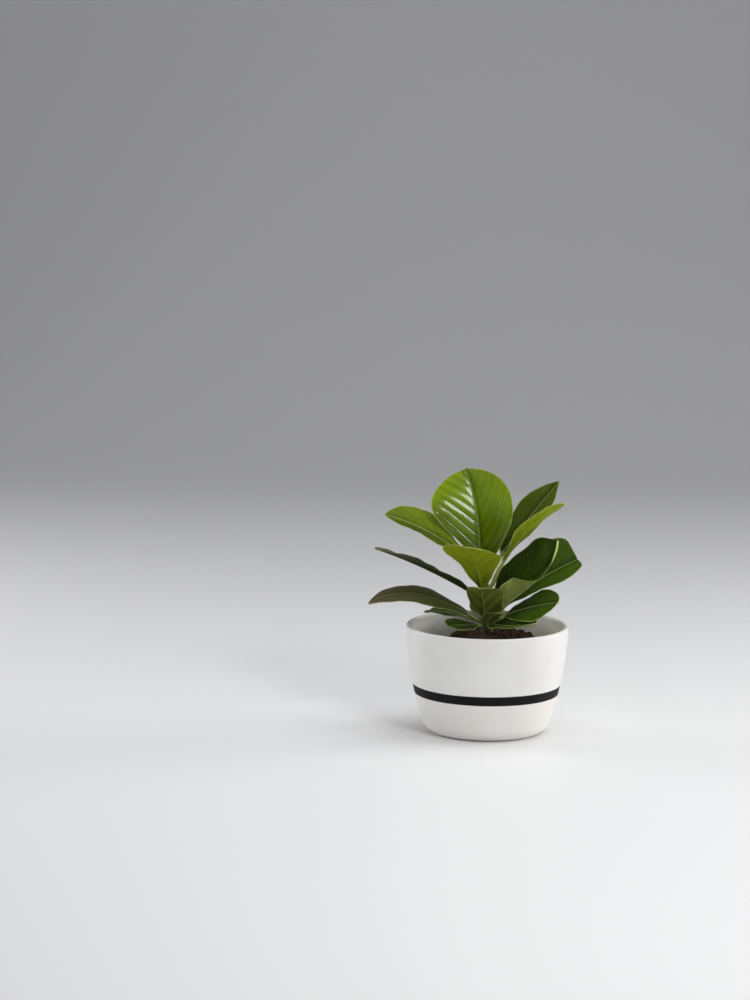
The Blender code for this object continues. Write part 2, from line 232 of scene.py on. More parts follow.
# %% [markdown]
# ## The planter
# The pot is taken to be cast stoneware, 152 mm across the rim. Its wall is almost upright at the rim and
# draws in faster towards the foot, which a power of the depth describes well. The lip is a plain half round.
# The wall is 4.2 mm thick, down to where it rounds into the floor inside.

# %% Planter shape
rim_height = rim_centre.z
rim_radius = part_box("planter")[1].x
WALL = 4.2 * MM
LIP = WALL / 2
DRAW_IN = 13.4 * MM           # how far the wall has come in at DRAW_DEPTH below the rim
DRAW_DEPTH = 83 * MM
DRAW_POWER = 1.75
FOOT_ROUND = 14 * MM
FOOT_TOP = 10 * MM
INNER_FLOOR = 6 * MM
INNER_ROUND = 12 * MM


def outer_radius(height):
    return rim_radius - DRAW_IN * ((rim_height - height) / DRAW_DEPTH) ** DRAW_POWER


def inner_radius(height):
    straight = outer_radius(height) - WALL
    short = INNER_ROUND - (height - INNER_FLOOR)
    if short <= 0:
        return straight
    return straight - INNER_ROUND + math.sqrt(INNER_ROUND ** 2 - short ** 2)


def arc(centre, height, radius, first, last, points):
    """Points of a circle in the plane of the profile."""
    return [(centre + radius * math.cos(a), height + radius * math.sin(a))
            for a in np.linspace(first, last, points)]


def planter_profile():
    foot_centre = outer_radius(FOOT_TOP) - math.sqrt(FOOT_ROUND ** 2 - (FOOT_ROUND - FOOT_TOP) ** 2)
    foot_end = -math.asin((FOOT_ROUND - FOOT_TOP) / FOOT_ROUND)
    lip_start = rim_height - LIP
    inner_end = INNER_FLOOR + INNER_ROUND
    points = [(foot_centre * 0.96, 0)]
    points += arc(foot_centre, FOOT_ROUND, FOOT_ROUND, -math.pi / 2, foot_end, 12)[:-1]
    points += [(outer_radius(z), z) for z in np.linspace(FOOT_TOP, lip_start, 44)]
    points += arc(outer_radius(lip_start) - LIP, lip_start, LIP, 0, math.pi, 13)[1:]
    points += [(inner_radius(z), z) for z in np.linspace(lip_start, inner_end, 24)[1:]]
    points += [(inner_radius(z), z) for z in np.linspace(inner_end, INNER_FLOOR, 9)[1:]]
    return points + [(inner_radius(INNER_FLOOR) * 0.5, INNER_FLOOR)]


planter = turn_up(planter_profile(), sides=192)
print("planter faces:", len(planter.data.polygons))

# %% [markdown]
# ## The glaze
# One white satin glaze covers the pot, with a matt black band painted round it below the middle. Under the
# band the clay body shows through a thinner coat, a little warmer. On a real glaze nothing is quite even, so
# the colour drifts slightly, the surface has a faint wave and scattered pinholes, and the coat is thinner
# over the lip. The band is found by height, which Object coordinates give.

# %% Glaze
BAND_LOW, BAND_HIGH = 36.8 * MM, 45.7 * MM
BAND_EDGE = 0.2 * MM          # half the width of its soft edges

glaze = Finish("white_glaze", IOR=1.1, Coat_IOR=1.5, Coat_Roughness=0.34)
place = glaze.object_place()
height = glaze.node("SeparateXYZ", None, {0: place}, 2)
wobble = (glaze.grain(60, 2) - 0.5) * (0.3 * MM)
level = height + wobble
over_low = glaze.step(level, BAND_LOW - BAND_EDGE, BAND_LOW + BAND_EDGE)
over_high = glaze.step(level, BAND_HIGH - BAND_EDGE, BAND_HIGH + BAND_EDGE)
band = over_low * (1 - over_high)
above = glaze.step(height, BAND_LOW, BAND_HIGH)
cloud = glaze.step(glaze.grain(25, 4), 0.35, 0.65)
white = glaze.mix(cloud, (0.80, 0.79, 0.775), (0.83, 0.825, 0.81))
cream = glaze.mix(cloud, (0.81, 0.785, 0.745), (0.84, 0.82, 0.785))
body = glaze.mix(above, cream, white)
lip = glaze.step(height, rim_height - 2.2 * MM, rim_height - 0.2 * MM)
body = glaze.mix(lip * 0.35, body, (0.70, 0.66, 0.60))
pinholes = 1 - glaze.step(glaze.node("TexVoronoi", None, {"Vector": place, "Scale": 170.0}), 0.05, 0.09)
body = glaze.mix(pinholes * 0.25, body, (0.45, 0.41, 0.36))
black = glaze.mix(cloud, (0.006, 0.007, 0.006), (0.010, 0.011, 0.010))
dimple = glaze.grain(90, 2) * 0.6 + glaze.grain(900, 2) * 0.06 - pinholes * 0.2
normal = glaze.bump(dimple + band * 0.25, 0.6 * MM, 0.35)
white_glaze = glaze.feed(Base_Color=glaze.mix(band, body, black), Roughness=0.5 + cloud * 0.1,
                         Coat_Weight=0.9 - band * 0.8, Normal=normal)
finish_piece(planter, "planter_glazed", "planter", [white_glaze])
print("band from", BAND_LOW, "to", BAND_HIGH, "m")

# %% [markdown]
# ## Soil
# Potting mix is a heap of crumbs of peat and bark, never a flat disc. Both soils are turned as smooth shapes
# first. Their points are then pushed in and out by noise of two sizes, lumps of a centimetre and crumbs of
# a millimetre or two, and loose crumbs are strewn on top afterwards.

# %% Soil shapes
BALL_X = 5 * MM
BALL_RADIUS = 43 * MM
BALL_SHOULDER = 84 * MM
BALL_DOME = 10.4 * MM         # how far it rises above its shoulder
SOIL_AT_WALL = 67 * MM
SOIL_AT_BALL = 72 * MM


def roughen(piece, lump, crumb, low):
    """Pushes the points above a height out and in along their normals."""
    mesh = piece.data
    for vertex in mesh.vertices:
        if vertex.co.z > low:
            push = lump * noise.fractal(vertex.co * 90, 1.0, 2.0, 3)
            push += crumb * noise.noise(vertex.co * 520)
            vertex.co += vertex.normal * push
    mesh.update()


ball_profile = [(36 * MM, 22 * MM), (BALL_RADIUS, BALL_SHOULDER)]
ball_profile += [(BALL_RADIUS * math.cos(a), BALL_SHOULDER + BALL_DOME * math.sin(a) ** 0.8)
                 for a in np.linspace(0, math.pi / 2, 44)[1:-1]]
ball_profile = [(radius, height, BALL_X, 0) for radius, height in ball_profile]
ball = turn_up(ball_profile, sides=180)
roughen(ball, lump=1.1 * MM, crumb=0.45 * MM, low=70 * MM)

fill_profile = [(inner_radius(20 * MM) - 0.6 * MM, 20 * MM)]
fill_profile += [(inner_radius(z) - 0.5 * MM, z) for z in np.linspace(30 * MM, SOIL_AT_WALL - 1 * MM, 6)]
wall_radius = inner_radius(SOIL_AT_WALL) - 0.8 * MM
fill_profile += [(wall_radius + (34 * MM - wall_radius) * part,
                  SOIL_AT_WALL + (SOIL_AT_BALL - SOIL_AT_WALL) * part) for part in np.linspace(0, 1, 34)]
fill = turn_up(fill_profile, sides=200)
roughen(fill, lump=0.9 * MM, crumb=0.45 * MM, low=SOIL_AT_WALL - 0.5 * MM)
print("root ball and fill:", len(ball.data.polygons), len(fill.data.polygons), "faces")

# %% [markdown]
# The strewn crumbs are one small ball, made once and copied a few hundred times. Each copy is squeezed and
# turned by seeded random numbers, so that the result is the same each time the script runs. Crumbs keep
# clear of the stem, of the wall and of the edge of the root ball.

# %% Loose crumbs
STEM_CLEAR = 8 * MM           # from the stem's middle to a crumb's middle
WALL_CLEAR = 3 * MM
EDGE_CLEAR = 2.5 * MM


def soil_top(x, y):
    """Height of the smooth soil under a point."""
    reach = math.hypot(x - BALL_X, y)
    if reach < BALL_RADIUS:
        return BALL_SHOULDER + BALL_DOME * (1 - (reach / BALL_RADIUS) ** 2) ** 0.4
    out = (math.hypot(x, y) - BALL_RADIUS) / (inner_radius(SOIL_AT_WALL) - BALL_RADIUS)
    return SOIL_AT_BALL + (SOIL_AT_WALL - SOIL_AT_BALL) * max(0, out)


def strew(count, seed, smallest, largest):
    """Crumbs of bark and peat lying on the soil, as one mesh."""
    deselect()
    bpy.ops.mesh.primitive_ico_sphere_add(subdivisions=1, radius=1)
    pattern = bpy.context.object
    bpy.ops.object.mode_set(mode="EDIT")
    bpy.ops.mesh.subdivide(number_cuts=1, smoothness=0.4)
    bpy.ops.transform.vertex_random(offset=0.16, seed=seed)
    bpy.ops.object.mode_set(mode="OBJECT")
    chance = np.random.default_rng(seed)
    crumbs = []
    while len(crumbs) < count:
        x, y = chance.uniform(-0.07, 0.07, 2)
        if not STEM_CLEAR <= math.hypot(x, y) <= inner_radius(SOIL_AT_WALL) - WALL_CLEAR:
            continue
        if abs(math.hypot(x - BALL_X, y) - BALL_RADIUS) < EDGE_CLEAR:
            continue
        size = chance.uniform(smallest, largest)
        crumb = bpy.data.objects.new("crumb", pattern.data.copy())
        turn = Quaternion(chance.normal(size=4)).normalized().to_matrix().to_4x4()
        squeeze = Matrix.Diagonal((*(size * chance.uniform(0.5, 1.2, 3)), 1))
        crumb.data.transform(Matrix.Translation((x, y, soil_top(x, y) + 0.2 * size)) @ turn @ squeeze)
        bpy.context.collection.objects.link(crumb)
        crumbs.append(crumb)
    bpy.data.objects.remove(pattern)
    deselect()
    for crumb in crumbs:
        crumb.select_set(True)
    bpy.context.view_layer.objects.active = crumbs[0]
    bpy.ops.object.join()
    return bpy.context.object


crumbs = strew(count=420, seed=3, smallest=0.7 * MM, largest=2.1 * MM)
print("crumbs:", len(crumbs.data.polygons), "faces")

# %% [markdown]
# ## Soil colours
# Damp peat is almost black in its hollows and warm brown on its dry crumbs. Noise of two sizes mixes three
# browns, a fine bump adds fibres, and the surface stays rough everywhere.

# %% Soil finishes
def soil_finish(name, dark, middle, dry):
    soil = Finish(name, IOR=1.4)
    lumps = soil.step(soil.grain(160, 5, 0.6), 0.38, 0.62)
    fibres = soil.step(soil.grain(900, 4, 0.65), 0.42, 0.66)
    colour = soil.mix(fibres * 0.6, soil.mix(lumps, dark, middle), dry)
    normal = soil.bump(soil.grain(700, 5, 0.7), 1.2 * MM, 0.9)
    return soil.feed(Base_Color=colour, Roughness=0.86 + lumps * 0.1, Normal=normal)


peat = soil_finish("peat", (0.022, 0.012, 0.006), (0.062, 0.032, 0.016), (0.13, 0.075, 0.04))
potting_mix = soil_finish("potting_mix", (0.018, 0.011, 0.007), (0.045, 0.028, 0.016), (0.10, 0.065, 0.04))
bark_crumbs = soil_finish("bark_crumbs", (0.03, 0.016, 0.009), (0.085, 0.045, 0.022), (0.17, 0.10, 0.055))
finish_piece(ball, "root_ball_soil", "root_ball", [peat], 80)
finish_piece(fill, "potting_soil_fill", "potting_soil", [potting_mix], 80)
finish_piece(crumbs, "soil_crumbs", "potting_soil", [bark_crumbs], 50)
print("soil pieces done")

# %% [markdown]
# ## Stem
# A fig's stem is green and smooth at the top and turns to thin brown bark below. Every leaf that has
# fallen left a low ring round it. The rings are modelled, because they catch the light from the side: the
# radius gains a narrow bump at each one. The centre of each ring follows the stem's slight bends.

# %% Stem shape
STEM_LINE = ((0, 0, 85), (-1, 0.5, 110), (-3.5, 1, 136), (-5, 2, 157))      # millimetres
STEM_LOW, STEM_TOP = STEM_LINE[0][2], STEM_LINE[-1][2]
RADIUS_LOW, RADIUS_TOP = 6.4, 3.6
SCARS = (98.5, 106.5, 111, 117, 124.5, 130, 139, 144.5)                     # their heights
SCAR_RISE, SCAR_WIDTH = 0.35, 0.5
BARK_INSET = 0.15                                                           # between the scars
RING_EVERY = 0.4


def stem_centre(height):
    x, y, z = zip(*STEM_LINE)
    return np.array([np.interp(height, z, x), np.interp(height, z, y), height])


def stem_radius(height):
    return RADIUS_LOW + (RADIUS_TOP - RADIUS_LOW) * (height - STEM_LOW) / (STEM_TOP - STEM_LOW)


def stem_ring(height):
    ridge = sum(math.exp(-((height - scar) / SCAR_WIDTH) ** 2) for scar in SCARS)
    x, y, z = stem_centre(height) * MM
    return (stem_radius(height) - BARK_INSET + SCAR_RISE * ridge) * MM, z, x, y


stem_profile = [stem_ring(height) for height in np.arange(STEM_LOW, STEM_TOP - RING_EVERY, RING_EVERY)]
radius, z, x, y = stem_profile[-1]
stem_profile += [(radius * math.cos(a), z + 0.9 * MM * math.sin(a), x, y)      # its rounded top
                 for a in (0.5, 0.9, 1.2, 1.45)]
stem = turn_up(stem_profile, sides=40)
print("stem faces:", len(stem.data.polygons))

# %% [markdown]
# The bark's colour goes from brown to green with height, with pale pores.

# %% Bark
bark = Finish("green_bark", IOR=1.45)
place = bark.object_place()
height = bark.node("SeparateXYZ", None, {0: place}, 2)
patches = bark.step(bark.grain(220, 4, 0.6), 0.4, 0.62)
age = bark.step(height, 92 * MM, 135 * MM)
colour = bark.mix(age, bark.mix(patches, (0.045, 0.035, 0.012), (0.085, 0.065, 0.022)),
                  bark.mix(patches, (0.085, 0.11, 0.02), (0.13, 0.16, 0.03)))
pores = 1 - bark.step(bark.node("TexVoronoi", None, {"Vector": place, "Scale": 900.0}), 0.12, 0.2)
colour = bark.mix(pores * 0.35, colour, (0.24, 0.21, 0.11))
normal = bark.bump(bark.grain(500, 4, 0.6) + pores * 0.3, 0.5 * MM, 0.7)
green_bark = bark.feed(Base_Color=colour, Roughness=0.62 + patches * 0.12, Normal=normal)
finish_piece(stem, "stem_scarred", "stem", [green_bark])
print("stem done")

# %% [markdown]
# ## Leaves: the shape
# A leaf is a round stalk that flattens into a thin blade. The blade is folded a little along its midrib,
# it droops towards the tip, its margin is wavy, and it puffs up between the side veins like a quilt. No
# primitive has such a shape, and operators could only come near it, so the leaf starts as a flat grid that
# is rolled up like a paper tube: one half of the columns is the upper face, the other half the underside,
# and the rows run from the stalk to the tip. Each point of the grid is then moved to its place by a few
# formulas. The seam is merged and the two open ends are filled, which gives one closed skin.
#
# A leaf's values are in millimetres and degrees, and its heading turns anticlockwise from +X:
# height on the stem, heading and rise as it sets off; stalk and petiole, the radius and length of its
# stalk; droop, tip_droop, sway, sway_late and roll, its bends; length, width, widest, skew, uneven, waist
# and point, its outline; fold, open and flare, how its halves lie; ruffle, the waves of its margin; quilt,
# the puffs between its veins, and calm_right, how much flatter they are on its right half; cup, how far the
# arch of its halves turns over; wrinkle, its small dents. Its age chooses its finish.

# %% Leaf values
LEAF_USUAL = dict(
    stalk=2.1, petiole=10, widest=0.62, skew=0.0, uneven=0.0, waist=0.12, point_left=0.5, point_right=0.5,
    flare_left=0.0, flare_right=0.0, droop=0, tip_droop=0, sway=0, sway_late=1.5, roll=0,
    fold_left=8, fold_right=8, open_left=0.0, open_right=0.0, ruffle=0.8, quilt=0.25, calm_right=0.0, cup=0.0,
    wrinkle=0.3, age="mature")
LEAVES = {
    "tall": dict(
        height=148, heading=110, length=90, width=84, widest=0.6, skew=-0.06, uneven=0.04, point_left=0.42,
        point_right=0.9, rise=83, droop=12, sway=-17, sway_late=2.2, roll=34, fold_left=22, fold_right=26,
        cup=0.42, quilt=0.34, calm_right=0.75, wrinkle=0.1, age="young"),
    "upper_left": dict(
        height=152, heading=181, petiole=14, length=88, width=57, widest=0.57, skew=0.03, uneven=0.2,
        waist=0.25, point_left=0.7, point_right=0.8, rise=47, droop=33, roll=13, age="fresh"),
    "front_top": dict(
        height=127, heading=252, petiole=6, length=72, width=55, widest=0.75, waist=-0.25, rise=74,
        droop=52, roll=3, fold_left=2, fold_right=2, age="young"),
    "upper_right": dict(
        height=150, heading=26, petiole=20, length=89, width=42, widest=0.56, uneven=0.1, point_left=0.8,
        point_right=1.05, rise=51, droop=5, roll=-18, fold_left=12, fold_right=22, age="grown"),
    "right_slim": dict(
        height=135, heading=335, petiole=28, length=88, width=32, widest=0.6, uneven=-0.2, waist=0.35,
        point_left=0.7, point_right=0.7, rise=71, droop=42, roll=8, fold_left=6, fold_right=14, age="young"),
    "right_scoop": dict(
        height=113, heading=340, petiole=6, length=93, width=54, widest=0.54, skew=-0.08, uneven=-0.38,
        waist=-0.3, point_left=0.35, point_right=0.9, rise=36, droop=-8, tip_droop=-46, roll=-30,
        fold_left=44, fold_right=84, open_left=0.5, open_right=0.8, flare_left=0.5, flare_right=0.2),
    "right_round": dict(
        height=108, heading=14, petiole=14, length=82, width=60, widest=0.76, skew=-0.04, waist=-0.1,
        point_left=0.12, point_right=0.25, rise=44, droop=22, roll=-36, fold_left=20, fold_right=30),
    "left_edge": dict(
        height=128, heading=183, petiole=9, length=98, width=31, widest=0.48, waist=0.0, point_left=0.9,
        point_right=0.9, rise=31, droop=13, roll=-10, fold_left=14, fold_right=14, ruffle=1.2, age="old"),
    "left_arch": dict(
        height=104, heading=188, length=102, width=47, widest=0.52, point_left=1.0, point_right=1.0,
        rise=36, droop=40, tip_droop=34, roll=10, fold_left=0, fold_right=0, age="old"),
    "back_low": dict(
        height=103, heading=142, length=53, width=35, widest=0.7, point_left=0.4, point_right=0.4,
        rise=8, droop=12, roll=4),
    "right_low": dict(
        height=105, heading=332, petiole=14, length=58, width=44, rise=28, droop=17, roll=-26, fold_left=6,
        fold_right=-4),
    "right_floor": dict(
        height=102.7, heading=300, stalk=1.6, petiole=3, length=58, width=26, uneven=-0.1, waist=-0.8,
        rise=0, sway=-36, sway_late=1.0, roll=-28, fold_left=2, fold_right=24, ruffle=0.4),
    "left_floor": dict(
        height=101, heading=222, stalk=1.6, petiole=5, length=37, width=27, rise=8, droop=6, roll=14,
        fold_left=4, fold_right=4, ruffle=0.4),
    "front_low": dict(
        height=105, heading=257, stalk=1.6, petiole=3, length=42, width=34, widest=0.62, uneven=-0.15,
        waist=-0.5, point_left=0.35, point_right=0.35, rise=76, droop=20, tip_droop=50, fold_left=4,
        fold_right=4, ruffle=0.3, age="fresh"),
    "front_small": dict(
        height=100, heading=279, stalk=1.4, petiole=3, length=27, width=15, widest=0.55, waist=-0.4,
        point_left=0.4, point_right=0.4, rise=66, droop=58, sway=-50, roll=2, fold_left=4,
        fold_right=4, ruffle=0.3, age="grown"),
    "back_right": dict(
        height=121, heading=50, length=78, width=48, rise=26, droop=12),
    "back_mid": dict(
        height=113, heading=86, length=70, width=42, rise=8, droop=18),
}
print("leaves:", len(LEAVES))

# %% [markdown]
# The spine is walked in small steps from the stem to the tip. At each step the leaf's own axes, ahead,
# right and up, turn a little: level droop first, then sway.

# %% Leaf spine
SPINE_STEPS = 160


def turned(vectors, axis, angle):
    """Vectors turned about a unit axis (Rodrigues' formula)."""
    cosine, sine = math.cos(angle), math.sin(angle)
    return [v * cosine + np.cross(axis, v) * sine + axis * np.dot(axis, v) * (1 - cosine) for v in vectors]


def leaf_spine(leaf):
    """Points and axes (ahead, right, up) at even steps from the stalk's end to the tip."""
    heading, rise, roll = (math.radians(leaf[key]) for key in ("heading", "rise", "roll"))
    tilt = leaf["stalk"] * abs(math.sin(rise))
    away = np.array([math.cos(heading), math.sin(heading), 0])
    point = stem_centre(leaf["height"]) + (stem_radius(leaf["height"]) + 0.3 + tilt) * away
    ahead = np.array([math.cos(rise) * away[0], math.cos(rise) * away[1], math.sin(rise)])
    level = np.array([away[1], -away[0], 0.0])
    right, = turned([level], ahead, -roll)
    up = np.cross(right, ahead)
    points, axes = [point], [(ahead, right, up)]
    for i in range(SPINE_STEPS):
        before, now = i / SPINE_STEPS, (i + 1) / SPINE_STEPS
        droop = leaf["droop"] * (now - before) + leaf["tip_droop"] * (now ** 4 - before ** 4)
        sway = leaf["sway"] * (now ** leaf["sway_late"] - before ** leaf["sway_late"])
        ahead, right, up = turned((ahead, right, up), level, -math.radians(droop))
        ahead, right, up = turned((ahead, right, up), up, -math.radians(sway))
        point = point + ahead * (leaf["petiole"] + leaf["length"]) / SPINE_STEPS
        points.append(point)
        axes.append((ahead, right, up))
    return np.array(points), np.array(axes)


def smooth(value, low, high):
    part = np.clip((value - low) / (high - low), 0, 1)
    return part * part * (3 - 2 * part)


# %% [markdown]
# The section of the leaf is worked out for all points at once. Side veins leave the midrib every twelve
# millimetres and run forward to the margin. The number of veins passed, counted along the leaf and
# shifted back as the point moves outwards, is a whole number exactly on a vein. Its sine gives the quilting,
# and the material reads the same number to colour the veins.

# %% Leaf section
VEIN_EVERY = 12.0                 # mm along the midrib
VEIN_SLANT = 0.98                 # mm forward for each mm outwards
VEIN_CURL = 0.004                 # and more than that towards the margin
OPEN_FROM, OPEN_TO = 0.34, 0.6    # where along the blade a folded half opens
HALF_THICK = 0.42                 # mm
EXTRA_WIDTH = 0.9                 # mm on each half, so that neither end of the blade is a point
RIB_WIDTH, RIB_DEPTH = 1.5, 1.5   # mm, of the midrib where the blade starts


def on_side(leaf, key, is_right):
    """The leaf's value for the half that each point is on."""
    return np.where(is_right, leaf[key + "_right"], leaf[key + "_left"])


def half_width(leaf, t, is_right):
    """The width of a half in mm, for t from 0 at the blade's start to 1 at its tip."""
    sign = np.where(is_right, 1, -1)
    shape = math.log(0.5) / np.log(leaf["widest"] + sign * leaf["skew"])
    inside = np.clip(t, 1e-6, 1 - 1e-6)
    power = 0.5 + (on_side(leaf, "point", is_right) - 0.5) * inside ** 3
    width = np.sin(math.pi * inside ** shape) ** power
    width = width * (1 - leaf["waist"] * np.exp(-((inside - 0.2) / 0.12) ** 2))
    return leaf["width"] / 2 * width * (1 + sign * leaf["uneven"])


def relief(leaf, on_blade, u, x, width, veins, is_right):
    """How far the blade stands above its plain folded shape, in mm: ripples, arches, puffs and dents."""
    out = np.abs(u)
    wave = 2.0 * on_blade + 0.37 * is_right
    ripple = leaf["ruffle"] * np.sin(2 * math.pi * wave) * u * u * np.minimum(1, 4 * on_blade)
    ripple += 0.2 * leaf["ruffle"] * np.sin(2 * math.pi * (3.3 * wave + leaf["heading"] / 77)) * out ** 4
    arch = 0.05 * width * np.sin(math.pi * out ** 0.8) * (1 - 2 * leaf["cup"])
    fade = smooth(x, 0.5, 5) * smooth(width - x, 0, 12) * smooth(on_blade, 0.02, 0.2)
    fade = fade * np.where(is_right, 1 - leaf["calm_right"], 1)
    puffs = leaf["quilt"] * (np.abs(np.sin(math.pi * veins)) ** 0.8 - 0.6) * fade
    turn = leaf["heading"] * 0.1      # so that no two leaves have the same dents
    dents = np.sin(9 * on_blade + 5 * u + turn) * np.sin(6 * u - 7 * on_blade + turn)
    return ripple + arch + puffs + leaf["wrinkle"] * dents * fade


def face_height(on_blade, x, out, is_top):
    """How far a face lies from the middle of the blade's thickness, in mm. The rib is mostly below."""
    thick = HALF_THICK + 0.12 * np.exp(-(x / 1.6) ** 2) * (1 - on_blade)
    rib_width = RIB_WIDTH - on_blade
    rib = RIB_DEPTH * (1 - 0.72 * on_blade) * np.exp(-(x / rib_width) ** 2)
    ridge = 0.16 * np.exp(-(x / (0.5 * rib_width)) ** 2)
    groove = 0.22 * np.exp(-((x - 1.5 * rib_width) / rib_width) ** 2)
    meeting = np.sqrt(np.clip(1 - out ** 8, 0, 1))      # brings both faces together at the margin
    return np.where(is_top, thick + ridge - groove, -thick - rib) * meeting


def leaf_section(leaf, t, u, spread, is_top):
    """Offsets (right, up, ahead) in mm, and (veins passed, mm from midrib, mm from margin) for points.

    t runs from -1 at the stem over 0, where the blade starts, to 1 at the tip. u runs across the blade
    from -1 to 1, and spread is the same before it was crowded towards the midrib.
    """
    is_right = u > 0
    out = np.abs(u)
    on_blade = np.clip(t, 0, 1)
    width = half_width(leaf, t, is_right) + EXTRA_WIDTH * smooth(t, -0.4, 0)
    x = out * width
    veins = (on_blade * leaf["length"] - VEIN_SLANT * x - VEIN_CURL * x * x) / VEIN_EVERY + 0.5 * is_right
    opened = on_side(leaf, "open", is_right) * smooth(on_blade, OPEN_FROM, OPEN_TO)
    fold = np.radians(on_side(leaf, "fold", is_right)) * (1 - opened)
    up = np.sin(fold) * x + relief(leaf, on_blade, u, x, width, veins, is_right)
    up = up + face_height(on_blade, x, out, is_top)
    ahead = on_side(leaf, "flare", is_right) * (on_blade - 0.4) * (1 - on_blade ** 4)
    ahead = ahead * out * leaf["width"] / 2
    blade = (np.sign(u) * np.cos(fold) * x, up, ahead)
    radius = leaf["stalk"] * (1 + 0.25 * smooth(-t, 0.75, 1.0))
    angle = math.pi / 2 * (1 - spread)
    stalk = (radius * np.cos(angle), radius * np.sin(angle) * np.where(is_top, 0.9, -1), 0)
    flat = smooth(t, -0.3, 0.12)
    offset = [round_part * (1 - flat) + flat_part * flat for round_part, flat_part in zip(stalk, blade)]
    return np.stack(offset, axis=-1), np.stack([veins, x, np.maximum(width - x, 0)], axis=-1)


# %% [markdown]
# Rolling up the grid: the grid's column says how far round the skin a point is, and its row how far along.
# The columns crowd towards the midrib, where the rib needs them, and the rows towards the tip. The lowest
# part of the stalk bends in towards the stem, so that its end is hidden in the bark. The numbers that the
# material needs are kept on the mesh as attributes.

# %% Rolling up a leaf
AROUND = 112            # columns: half on top and half below
ALONG = 118             # rows
CROWD_ACROSS, CROWD_ALONG = 1.3, 1.25
END_REACH = 1.2         # mm that a stalk goes on past its own length
TUCK_DEPTH = 1.5        # mm that a stalk's end lies in the bark
TUCK_REACH = 5.0        # mm of stalk that bend in towards the stem
SEAM_GAP = 0.002 * MM   # points nearer to each other than this become one


def leaf_grid(mesh, around, along, stalk_rows):
    """For the points of a flat grid: t, u and spread as above, and whether they are on the upper face."""
    flat = np.empty(len(mesh.vertices) * 3)
    mesh.vertices.foreach_get("co", flat)
    column = np.rint((flat[0::3] + 0.5) * around)
    row = np.rint((flat[1::3] + 0.5) * along)
    is_top = column <= around / 2
    spread = np.where(is_top, column, around - column) / (around / 2) * 2 - 1
    u = np.sign(spread) * np.abs(spread) ** CROWD_ACROSS
    part = np.clip((row - stalk_rows) / (along - stalk_rows), 0, 1)
    t = np.where(row < stalk_rows, row / stalk_rows - 1, 1 - (1 - part) ** CROWD_ALONG)
    return t, u, spread, is_top


def along_spine(leaf, t, offset):
    """Points in mm, once each section stands at its place on the spine."""
    points, axes = leaf_spine(leaf)
    distance = leaf["petiole"] + t * np.where(t < 0, leaf["petiole"], leaf["length"])
    distance = np.where(t == -1, -END_REACH, distance)
    place = distance / (leaf["petiole"] + leaf["length"]) * SPINE_STEPS
    index = np.clip(place.astype(int), 0, SPINE_STEPS - 1)
    share = (place - index)[:, None]
    centre = points[index] * (1 - share) + points[index + 1] * share
    axis = axes[index] * (1 - share[:, None]) + axes[index + 1] * share[:, None]
    heading, rise = math.radians(leaf["heading"]), math.radians(leaf["rise"])
    tuck = (TUCK_DEPTH + leaf["stalk"] * abs(math.sin(rise))) * (1 - smooth(distance, 0, TUCK_REACH))
    centre = centre - tuck[:, None] * np.array([math.cos(heading), math.sin(heading), 0])
    offset = offset * (0.5 + 0.5 * smooth(distance, -END_REACH, 1.6))[:, None]      # rounds off the end
    return centre + axis[:, 1] * offset[:, :1] + axis[:, 2] * offset[:, 1:2] + axis[:, 0] * offset[:, 2:]


def keep_numbers(mesh, name, vectors):
    """Three numbers for each point, kept on the mesh under a name."""
    mesh.attributes.new(name, "FLOAT_VECTOR", "POINT").data.foreach_set("vector", vectors.ravel())


def roll_leaf(leaf, around=AROUND, along=ALONG, stalk_rows=14):
    """A leaf as one closed skin, with material 0 on its upper face and material 1 below."""
    deselect()
    bpy.ops.mesh.primitive_grid_add(x_subdivisions=around, y_subdivisions=along, size=1)
    piece = bpy.context.object
    mesh = piece.data
    centres = np.empty(len(mesh.polygons) * 3)
    mesh.polygons.foreach_get("center", centres)
    t, u, spread, is_top = leaf_grid(mesh, around, along, stalk_rows)
    offset, vein = leaf_section(leaf, t, u, spread, is_top)
    mesh.vertices.foreach_set("co", (along_spine(leaf, t, offset) * MM).ravel())
    mesh.polygons.foreach_set("material_index", (centres[0::3] > 0).astype(int))
    keep_numbers(mesh, "vein", vein)
    keep_numbers(mesh, "where", np.stack([t, u, np.zeros_like(t)], axis=-1))

    bpy.ops.object.mode_set(mode="EDIT")
    bpy.ops.mesh.select_mode(type="VERT")
    bpy.ops.mesh.select_all(action="SELECT")
    bpy.ops.mesh.remove_doubles(threshold=SEAM_GAP)
    bpy.ops.mesh.fill_holes(sides=0)                  # the open end at the stem, and the one at the tip
    bpy.ops.mesh.select_all(action="SELECT")
    bpy.ops.mesh.normals_make_consistent(inside=False)
    bpy.ops.object.mode_set(mode="OBJECT")
    return piece
